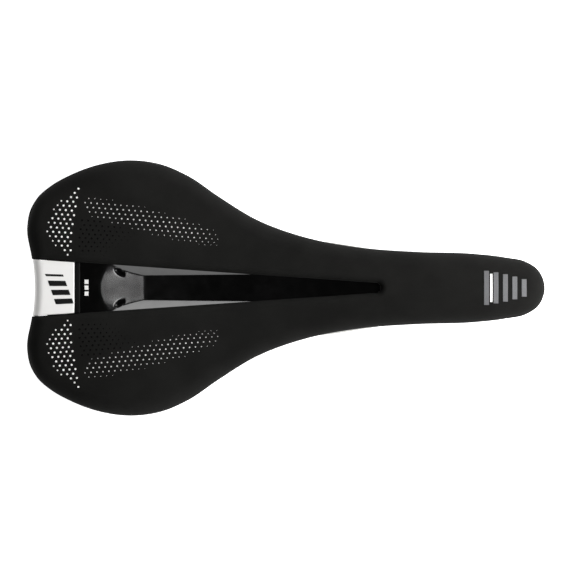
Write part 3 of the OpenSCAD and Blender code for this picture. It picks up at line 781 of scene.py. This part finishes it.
BADGE_REAR, BADGE_FRONT = 4.7, 25.3
BAR_FRONT = 28.0
SEAM = 0.1  # between the badge and the bar in front of it
BAR_DEPTH, LEDGE_DEPTH, SHELF_DEPTH = 2.2, 7.0, 4.0
TUCK = 0.08  # overlap of the channel's edges and the cover
BOWL_APEX, BOWL_R = 38.7, 15.4  # rear end and radius of the rim where the ramp begins
NECK = 61.0  # foot of the ramp
CHANNEL_DROP = ((NECK, 3.3), (118, 0.02), (SLOT_FRONT, 0.02))  # from shelf to floor
WALL_RUN = 1.45  # plan width of a side wall for each millimetre of its height
CHANNEL_T = 2.4
POCKET_AT = (48.8, 8.0)  # distance from the tail, and to either side
POCKET_TURN = math.radians(34)
POCKET_LONG, POCKET_SHORT = 3.9, 1.75
POCKET_EDGE = 0.4  # share of the pocket's size over which its side slopes
POCKET_LOW = (51.2, 6.6)  # the pocket's floor is 0.1 mm lower than the ramp here
SHELF_STEPS, RAMP_STEPS, FRONT_STEPS = 8, 70, 80
FLOOR_STEPS, WALL_STEPS = 22, 16
STRAPS = (64, 100)
STRAP_DEPTH, STRAP_T = 17.3, 1.6
STRAP_W, STRAP_REACH = 8, 11  # its reach is past the channel's side
WEB_T, WEB_INSET = 5, 1
BOSS_OUT, BOSS_H = 8, STRAP_T + 1.6
BOSS_R = (3.2, 3.0)
MARKS_AT = (30.4, 31.4, 32.4)  # from the tail: a mark's rear, middle and front
MARK_STEP, MARK_HALF = 3.1, 1.1
MARK_RISE = 0.05


def channel_half(d):
    """Half width of the insert, whose edges just tuck into the cover."""
    return slot_half(d) + TUCK


def bowl_rim(y):
    """Distance from the tail of the rounded rim where the shelf drops into the channel."""
    return BOWL_APEX + BOWL_R - math.sqrt(max(BOWL_R ** 2 - y * y, 0))


def channel_z(d, y):
    """Height of the channel's skin: a flat shelf, a ramp, and side walls down to the floor."""
    drop = lookup(d, CHANNEL_DROP)
    wall = (channel_half(d) - abs(y)) / (WALL_RUN * drop)
    run = min(max((d - bowl_rim(y)) / (NECK - bowl_rim(y)), 0), 1)
    hollow = run + 0.1 * math.sin(math.pi * run)
    share = max(min(soft_min(hollow, wall, 0.08), 1), 0)
    return seat_z(d, 0) - SHELF_DEPTH - drop * share


def pocket(d, y):
    """How far a point lies inside the oval pocket at the foot of the ramp's side, 0 to 1."""
    ahead, across = d - POCKET_AT[0], abs(y) - POCKET_AT[1]
    long_way = (ahead * math.cos(POCKET_TURN) - across * math.sin(POCKET_TURN)) / POCKET_LONG
    short_way = (ahead * math.sin(POCKET_TURN) + across * math.cos(POCKET_TURN)) / POCKET_SHORT
    return 1 - smooth((math.hypot(long_way, short_way) - 1 + POCKET_EDGE) / POCKET_EDGE)


def channel_rows():
    """Rows of points over the gloss channel, lined up with its rim, ramp and side walls."""
    stages = ([("ledge", f) for f in (0, 1)]
              + [("shelf", k / SHELF_STEPS) for k in range(SHELF_STEPS + 1)]
              + [("ramp", k / RAMP_STEPS) for k in range(1, RAMP_STEPS + 1)]
              + [("front", k / FRONT_STEPS) for k in range(1, FRONT_STEPS + 1)])
    pocket_floor = channel_z(*POCKET_LOW) - 0.1
    side_steps = FLOOR_STEPS + WALL_STEPS
    rows = []
    for stage, f in stages:
        nominal = {"ledge": BAR_FRONT, "shelf": BOWL_APEX, "ramp": mix(BOWL_APEX, NECK, f)}.get(
            stage, mix(NECK, SLOT_FRONT - 0.3, f))
        half = channel_half(nominal)
        foot = half - WALL_RUN * lookup(nominal, CHANNEL_DROP)
        row = []
        for k in range(-side_steps, side_steps + 1):
            y = foot * k / FLOOR_STEPS
            if abs(k) > FLOOR_STEPS:
                y = math.copysign(mix(foot, half, (abs(k) - FLOOR_STEPS) / WALL_STEPS), k)
            d = {"ledge": mix(BADGE_FRONT + SEAM, BAR_FRONT, f),
                 "shelf": mix(BAR_FRONT + 0.03, bowl_rim(y), f),
                 "ramp": mix(bowl_rim(y), NECK, f)}.get(stage, nominal)
            y *= channel_half(d) / half
            z = channel_z(d, y)
            z = mix(z, min(z, pocket_floor), pocket(d, y))
            if stage == "ledge":
                z = seat_z(d, 0) - LEDGE_DEPTH
            row.append(place(Vector((d, y)), z))
        rows.append(row)
    return rows


class SADDLE_OT_channel(bpy.types.Operator):
    """Build the gloss relief channel with its ramp, side walls and straps"""

    bl_idname = "saddle.channel"
    bl_label = "Relief channel"

    def execute(self, context):
        bm = slab(channel_rows(), CHANNEL_T)
        for d in STRAPS:
            at = seat_frame(d, 0, STRAP_DEPTH + STRAP_T)
            strap = bmesh.new()
            height = (STRAP_DEPTH + STRAP_T - SHELF_DEPTH - lookup(d, CHANNEL_DROP)
                      - CHANNEL_T / 2)
            for size in ((STRAP_W, 2 * slot_half(d) + 2 * STRAP_REACH, STRAP_T),
                         (WEB_T, 2 * slot_half(d) - 2 * WEB_INSET, height)):
                made = bmesh.ops.create_cube(strap, size=1.0)["verts"]
                bmesh.ops.scale(strap, vec=size, verts=made)
                bmesh.ops.translate(strap, vec=(0, 0, size[2] / 2), verts=made)
            for side in (-1, 1):
                boss = bmesh.ops.create_cone(
                    strap, cap_ends=True, segments=28, radius1=BOSS_R[0], radius2=BOSS_R[1],
                    depth=BOSS_H)["verts"]
                bmesh.ops.translate(strap, verts=boss,
                                    vec=(0, side * (slot_half(d) + BOSS_OUT), BOSS_H / 2))
            bevel_sharp(strap, 0.3, 2)
            bmesh.ops.transform(strap, matrix=at, verts=strap.verts)
            join_into(bm, strap)
        finish_piece("gloss_channel", bm,
                     gloss_plastic("polished_black_abs", context.scene.saddle.gloss_colour, 0.18),
                     ["relief_channel"], sharp_angle=50)
        marks = bmesh.new()
        for side in (-1, 0, 1):
            rows = [[place(Vector((d, MARK_STEP * side + y)), channel_z(d, 0) + MARK_RISE)
                     for y in (-MARK_HALF, 0, MARK_HALF)] for d in MARKS_AT]
            add_sheet(marks, rows)
        close_up(marks)
        finish_piece("shelf_marks", marks, ink("white_channel_print", "#e9e9e7", 0.4))
        return {"FINISHED"}


# ---- tail ----

BRIDGE_AT = 18.0
BADGE_DEPTH = 1.2
BADGE_R = 4.5  # where the badge turns down over the tail
BADGE_T = 2.4
BADGE_SKIRT = 14.0
BADGE_GAP = 0.15  # to the cover at either side
BADGE_CROWN = 0.0044  # curvature from side to side
BADGE_BOW = (0.005, 18)  # how its rear bows, and the length over which that sets in
BADGE_STEPS, BADGE_SIDES = 40, 14
PEG_R, PEG_LENGTH = 2.6, 14.1
PEG_BACK, PEG_OUT = 2, 8  # from the bridge's middle
PEG_FOOT = 17.75  # depth of the pegs' lower ends, in the bridge
BAR_SPAN = (3.4, 12.6)  # where the printed bars start and end along the badge
BAR_SLANT = 5.0
BAR_SHARES = ((-0.62, -0.42), (-0.28, -0.08), (0.06, 0.26), (0.42, 0.5))  # of its half width
BAR_RISE = 0.06
BAR_STEPS = 6


def badge_point(s, share, lift=0.0):
    """A point on the badge's skin: s runs from its front edge back and down the tail."""
    flat = BADGE_FRONT - BADGE_REAR - BADGE_R
    quarter = BADGE_R * math.pi / 2
    if s < flat:
        x, z = BADGE_FRONT - s, 0.0
    elif s < flat + quarter:
        turn = (s - flat) / BADGE_R
        x = BADGE_REAR + BADGE_R - BADGE_R * math.sin(turn)
        z = BADGE_R * math.cos(turn) - BADGE_R
    else:
        x, z = BADGE_REAR, -BADGE_R - (s - flat - quarter)
    y = share * (slot_half(max(x, BADGE_REAR)) - BADGE_GAP)
    bow = BADGE_BOW[0] * y * y * smooth((BADGE_FRONT - x) / BADGE_BOW[1])
    crown = BADGE_CROWN * y * y / 2
    at = seat_frame(BRIDGE_AT, 0, BADGE_DEPTH)
    return at @ Vector((x - BRIDGE_AT - bow, y, z - crown + lift))


def badge_length():
    """Length of the badge's skin from its front edge to the lower edge of its skirt."""
    return BADGE_FRONT - BADGE_REAR - BADGE_R + BADGE_R * math.pi / 2 + BADGE_SKIRT - BADGE_R


def badge_bar(bm, left, right):
    """Adds a printed bar between two shares of the badge's half width."""
    rows = []
    for i in range(BAR_STEPS + 1):
        shares = [mix(left, right, j / BAR_STEPS) for j in range(BAR_STEPS + 1)]
        s = mix(*BAR_SPAN, i / BAR_STEPS)
        rows.append([badge_point(s + BAR_SLANT * share, share, BAR_RISE) for share in shares])
    add_sheet(bm, rows)


class SADDLE_OT_tail_badge(bpy.types.Operator):
    """Build the white tail badge and the plain bars printed on it"""

    bl_idname = "saddle.tail_badge"
    bl_label = "Tail badge"

    def execute(self, context):
        length = badge_length()
        shares = [j / BADGE_SIDES for j in range(-BADGE_SIDES, BADGE_SIDES + 1)]
        rows = [[badge_point(length * i / BADGE_STEPS, share) for share in shares]
                for i in range(BADGE_STEPS + 1)]
        bm = bmesh.new()
        add_sheet(bm, rows)
        bmesh.ops.recalc_face_normals(bm, faces=bm.faces)
        face_up(bm)
        bmesh.ops.solidify(bm, geom=bm.faces[:], thickness=BADGE_T)
        bmesh.ops.recalc_face_normals(bm, faces=bm.faces)
        bevel_sharp(bm, 0.45, 3, angle=60)
        for side in (-1, 1):
            peg = bmesh.ops.create_cone(bm, cap_ends=True, segments=32, radius1=PEG_R,
                                        radius2=PEG_R, depth=PEG_LENGTH)["verts"]
            up = Matrix.Translation((-PEG_BACK, side * PEG_OUT, PEG_LENGTH / 2))
            at = seat_frame(BRIDGE_AT, 0, PEG_FOOT) @ up
            bmesh.ops.transform(bm, matrix=at, verts=peg)
        finish_piece("badge_plate", bm,
                     gloss_plastic("lacquered_white_abs", context.scene.saddle.badge_colour, 0.09),
                     ["tail_badge"])
        bars = bmesh.new()
        for left, right in BAR_SHARES:
            badge_bar(bars, left, right)
        close_up(bars)
        face_up(bars)
        finish_piece("badge_bars", bars, ink("black_print", "#101010", 0.35))
        return {"FINISHED"}


class SADDLE_OT_trim_bar(bpy.types.Operator):
    """Build the satin bar between the badge and the channel"""

    bl_idname = "saddle.trim_bar"
    bl_label = "Trim bar"

    def execute(self, context):
        bm = bmesh.new()
        made = bmesh.ops.create_cube(bm, size=1.0)["verts"]
        rear, front = BADGE_FRONT + SEAM, BAR_FRONT
        for vert in made:
            d = rear if vert.co.x < 0 else front
            y = math.copysign(slot_half(d) - BADGE_GAP, vert.co.y)
            depth = LEDGE_DEPTH - 0.05 if vert.co.z < 0 else BAR_DEPTH
            vert.co = place(Vector((d, y)), seat_z(d, 0) - depth)
        bmesh.ops.subdivide_edges(bm, edges=bm.edges, cuts=1)
        bevel_sharp(bm, 0.4, 3, angle=40)
        close_up(bm)
        finish_piece("satin_bar", bm, grained_plastic("satin_black_abs", "#040404", 0.4, 0.55, 0.1),
                     ["trim_bar"])
        return {"FINISHED"}


# ---- prints on the cover ----

DOTS_ALONG, DOT_ROWS = 34, 19
FIRST_DOT, FIRST_ROW = 7.85, 15  # from the tail, and from the middle line
ROW_STEP = 0.76  # distance between rows, as a share of the pitch
ROW_SHIFT, SHIFT_FROM = 0.15, 28  # rows further out than this start further forward
LEAN, MORE_LEAN = 0.025, 0.045  # inward slope of a row, and what the wing's rows have more
SMALLEST = 0.22  # dots with a smaller share of the radius aren't printed
DISC_T, DISC_TAPER = 0.1, 0.86
DISC_RISE = 0.03  # height of a disc's middle over the sitting surface
CLUSTER_Y = 31  # the white cluster reaches furthest back here
CLUSTER_REAR, CLUSTER_FRONT = 10.8, 23.6
CLUSTER_BENDS = (0.056, 0.034, 0.0016)  # of its rear edge, inside and outside, and its front
BAND_REAR, BAND_FRONT = 30, 101  # of the fading band
BAND_Y, BAND_SLOPE = 43.2, 0.25  # its centre line near its rear end, and how that runs inward
BAND_MIDDLE, BAND_REACH, BAND_HALF = 64, 44, 6.6  # of the ellipse that bounds it
PATCH_REAR, PATCH_OUT, PATCH_GAP = 27.5, 36, 4.2  # the dark patch's bounds: gap to the channel


def tail_cluster(d, y):
    """Radius share of a dot in the white cluster near the tail: full but at its rear edge."""
    inside, outside, ahead = CLUSTER_BENDS
    rear = CLUSTER_REAR + (outside if y > CLUSTER_Y else inside) * (y - CLUSTER_Y) ** 2
    front = CLUSTER_FRONT + ahead * y * y
    if not rear < d < front:
        return 0.0
    return 1.0 if d > rear + 1.3 else 0.75


def fading_band(d, y):
    """Radius share in the band that runs forward and inward and dies away at its edges."""
    if not BAND_REAR < d < BAND_FRONT:
        return 0.0
    centre = BAND_Y - (d - BAND_REAR - 1) * BAND_SLOPE
    half = BAND_HALF * math.sqrt(max(1 - ((d - BAND_MIDDLE) / BAND_REACH) ** 2, 0)) + 0.8
    off = (y - centre) / half
    ends = smooth((d - 27) / 6) * smooth((105 - d) / 22)
    return 0.74 * max(1 - off * off, 0) ** 0.6 * (0.45 + 0.55 * ends)


def dark_patch(d, y):
    """Radius share in the gloss black patch between the band and the channel."""
    inside = d >= PATCH_REAR and slot_half(d) + PATCH_GAP <= y <= PATCH_OUT
    if fading_band(d, y) > 0 or not inside:
        return 0.0
    end = 41 + (min(y, 30) - 14.6) * 1.43
    return 0.92 * smooth((end + 6 - d) / 26)


def lattice_point(i, j, pitch):
    """A place on the print's staggered lattice, which leans inward as the wing curves away."""
    row = FIRST_ROW + ROW_STEP * pitch * j
    d = FIRST_DOT + pitch * (i + 0.5 * (j % 2)) + ROW_SHIFT * max(row - SHIFT_FROM, 0)
    lean = LEAN + MORE_LEAN * smooth((row - 20) / 12)
    return d, row - lean * (d - 15)


def print_dots(settings, chooser):
    """A bmesh of small raised discs on the staggered lattice, where a chooser wants them."""
    bm = bmesh.new()
    pitch = settings.dot_pitch / MM
    largest = settings.dot_diameter / MM / 2
    for j in range(DOT_ROWS):
        for i in range(DOTS_ALONG):
            d, y = lattice_point(i, j, pitch)
            share = chooser(d, y)
            if share < SMALLEST:
                continue
            for side in (-1, 1):
                disc = bmesh.ops.create_cone(bm, cap_ends=True, segments=12, depth=DISC_T,
                                             radius1=share * largest,
                                             radius2=share * largest * DISC_TAPER)["verts"]
                bmesh.ops.transform(bm, matrix=seat_frame(d, side * y, -DISC_RISE), verts=disc)
    return bm


class SADDLE_OT_dots(bpy.types.Operator):
    """Print the white, grey and gloss black dots on the wings"""

    bl_idname = "saddle.dots"
    bl_label = "Dots"

    def execute(self, context):
        settings = context.scene.saddle
        for name, chooser, finish in (
                ("white_dots", tail_cluster, ink("white_print", "#f4f4f2", 0.5)),
                ("grey_dots", fading_band, ink("pale_grey_print", "#c9c9c8", 0.55)),
                ("black_dots", dark_patch, ink("gloss_black_print", "#060606", 0.22))):
            finish_piece(name, print_dots(settings, chooser), finish)
        return {"FINISHED"}


NOSE_BARS = ((240, 9), (245, 8.2), (250, 7.2), (255, 6), (260, 4.6))  # from the tail, half length
BAR_W = 2.6
NOSE_LINE = (243.2, 7.4)
LINE_W = 1.2
STRIP_RISE, STRIP_T = 0.16, 0.14
STRIP_STEPS, STRIP_SIDES = 3, 10


def nose_strip(bm, d0, half, width):
    """Adds a thin bar that follows the crown of the nose."""
    rows = []
    for i in range(STRIP_STEPS + 1):
        d = d0 + width * i / STRIP_STEPS
        sides = [half * j / STRIP_SIDES for j in range(-STRIP_SIDES, STRIP_SIDES + 1)]
        rows.append([place(Vector((d, y)), seat_z(d, y) + STRIP_RISE) for y in sides])
    strip = slab(rows, STRIP_T)
    bevel_sharp(strip, 0.05, 1, angle=60)
    join_into(bm, strip)


class SADDLE_OT_nose_bars(bpy.types.Operator):
    """Print the grey bars and the white line on the nose"""

    bl_idname = "saddle.nose_bars"
    bl_label = "Nose bars"

    def execute(self, context):
        bars = bmesh.new()
        for d, half in NOSE_BARS:
            nose_strip(bars, d, half, BAR_W)
        finish_piece("nose_bars", bars,
                     ink("grey_nose_print", context.scene.saddle.emblem_colour, 0.6),
                     ["nose_emblem"])
        line = bmesh.new()
        nose_strip(line, *NOSE_LINE, LINE_W)
        finish_piece("nose_line", line, ink("white_nose_print", "#f0f0ee", 0.5))
        return {"FINISHED"}


# ---- hardware that keeps its CAD shape ----

class SADDLE_OT_hardware(bpy.types.Operator):
    """Give the rails, sockets, bushes and fasteners their finishes"""

    bl_idname = "saddle.hardware"
    bl_label = "Hardware finishes"

    def execute(self, context):
        finishes = (
            (drawn_rail(), "left_rail right_rail"),
            (grained_plastic("socket_nylon", "#242427", 0.7, 0.42),
             "left_rear_socket right_rear_socket nose_socket"),
            (grained_plastic("bridge_nylon", "#1e1e20", 0.7, 0.46), "tail_bridge"),
            (elastomer(), "left_rear_bush right_rear_bush left_nose_bush right_nose_bush"),
            (zinc_plate(),
             "rear_socket_screws rear_socket_nuts nose_socket_screws nose_socket_nuts "
             "tail_bridge_screws tail_badge_screws relief_channel_screws cover_staples"))
        for finish, names in finishes:
            for name in names.split():
                for material_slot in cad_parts[name].material_slots:
                    material_slot.material = finish
        return {"FINISHED"}


# ---- stage ----

VIEW_WIDTH = 302.9 * MM  # width of the view at the height of the wings
EYE_DISTANCE = 1.7
EYE_LEAN = -0.4  # degrees from straight above, towards the left side
VIEW_AT = (136.5, 0.2, 40)  # what the camera looks at: from the tail, to the left and up
SENSOR = 36
FLOOR_HALF = 6.0
SOFTBOXES = (  # name, place, size and power
    ("left_softbox", (0.22, 1.3, 0.5), (0.9, 0.6), 9.5),
    ("right_softbox", (0.25, -1.3, 0.5), (0.9, 0.6), 4.5),
    ("front_softbox", (0.97, 0.0, 1.13), (0.47, 0.42), 10),
    ("nose_softbox", (0.37, 0.0, 0.25), (0.24, 0.16), 2.1))


def softbox(name, spot, size, power):
    """A rectangular soft light that faces the frame's origin and doesn't show itself."""
    light = bpy.data.lights.new(name, "AREA")
    light.shape = "RECTANGLE"
    light.size, light.size_y = size
    light.energy = power
    lamp = bpy.data.objects.new(name, light)
    bpy.context.scene.collection.objects.link(lamp)
    lamp.location = spot
    lamp.visible_camera = False
    lamp.rotation_mode = "QUATERNION"
    lamp.rotation_quaternion = (-Vector(spot)).to_track_quat("-Z", "Y")


class SADDLE_OT_stage(bpy.types.Operator):
    """Set up the floor, the soft lights and the camera above the saddle"""

    bl_idname = "saddle.stage"
    bl_label = "Stage"

    def execute(self, context):
        scene = context.scene
        bm = bmesh.new()
        bmesh.ops.create_grid(bm, x_segments=1, y_segments=1, size=FLOOR_HALF)
        mesh = bpy.data.meshes.new("floor")
        bm.to_mesh(mesh)
        bm.free()
        floor = bpy.data.objects.new("floor", mesh)
        floor.location.z = CAD_LOW.z - 0.1 * MM
        scene.collection.objects.link(floor)
        material, *_ = new_finish("white_sweep", Base_Color=colour("#f4f4f4"), Roughness=0.9,
                                  Emission_Color=colour("#ffffff"), Emission_Strength=0.9)
        mesh.materials.append(material)

        world = bpy.data.worlds.new("studio")
        world.use_nodes = True
        tree = world.node_tree
        tree.nodes.clear()
        up = add_node(tree, "ShaderNodeSeparateXYZ", {
            "Vector": add_node(tree, "ShaderNodeTexCoord").outputs["Generated"]})
        ramp = add_node(tree, "ShaderNodeValToRGB", {"Fac": up.outputs["Z"]},
                        ((0.55, (1, 1, 1, 1)), (0.9, (0.03, 0.03, 0.03, 1))))
        sky = add_node(tree, "ShaderNodeBackground",
                       {"Color": ramp.outputs["Color"], "Strength": 0.3})
        add_node(tree, "ShaderNodeOutputWorld", {"Surface": sky.outputs[0]})
        scene.world = world

        for light in SOFTBOXES:
            softbox(*light)

        camera_data = bpy.data.cameras.new("above")
        camera_data.sensor_width = SENSOR
        camera_data.lens = SENSOR * EYE_DISTANCE / VIEW_WIDTH
        camera = bpy.data.objects.new("above", camera_data)
        scene.collection.objects.link(camera)
        scene.camera = camera
        lean = math.radians(EYE_LEAN)
        target = MM * place(Vector(VIEW_AT[:2]), VIEW_AT[2])
        back = Vector((0, math.sin(lean), math.cos(lean)))
        camera.location = target + EYE_DISTANCE * back
        camera.rotation_mode = "QUATERNION"
        camera.rotation_quaternion = Matrix.Rotation(-lean, 4, "X").to_quaternion()
        scene.view_settings.view_transform = "Standard"
        return {"FINISHED"}


# ---- add-on ----

BUILDERS = (SADDLE_OT_stage, SADDLE_OT_cover, SADDLE_OT_foam, SADDLE_OT_shell, SADDLE_OT_channel,
            SADDLE_OT_tail_badge, SADDLE_OT_trim_bar, SADDLE_OT_dots, SADDLE_OT_nose_bars,
            SADDLE_OT_hardware)


class SADDLE_PT_panel(bpy.types.Panel):
    """Lists the saddle's settings and its pieces"""

    bl_idname = "SADDLE_PT_panel"
    bl_label = "Saddle"
    bl_space_type = "VIEW_3D"
    bl_region_type = "UI"
    bl_category = "Saddle"

    def draw(self, context):
        settings = context.scene.saddle
        for name in SaddleSettings.__annotations__:
            self.layout.prop(settings, name)
        for builder in BUILDERS:
            self.layout.operator(builder.bl_idname)


CLASSES = (SaddleSettings, *BUILDERS, SADDLE_PT_panel)


def register():
    for item in CLASSES:
        bpy.utils.register_class(item)
    bpy.types.Scene.saddle = PointerProperty(type=SaddleSettings)


def unregister():
    del bpy.types.Scene.saddle
    for item in reversed(CLASSES):
        bpy.utils.unregister_class(item)


def main():
    register()
    bpy.ops.saddle.stage()
    bpy.ops.saddle.cover()
    bpy.ops.saddle.foam()
    bpy.ops.saddle.shell()
    bpy.ops.saddle.channel()
    bpy.ops.saddle.tail_badge()
    bpy.ops.saddle.trim_bar()
    bpy.ops.saddle.dots()
    bpy.ops.saddle.nose_bars()
    bpy.ops.saddle.hardware()


if __name__ == "__main__":
    main()
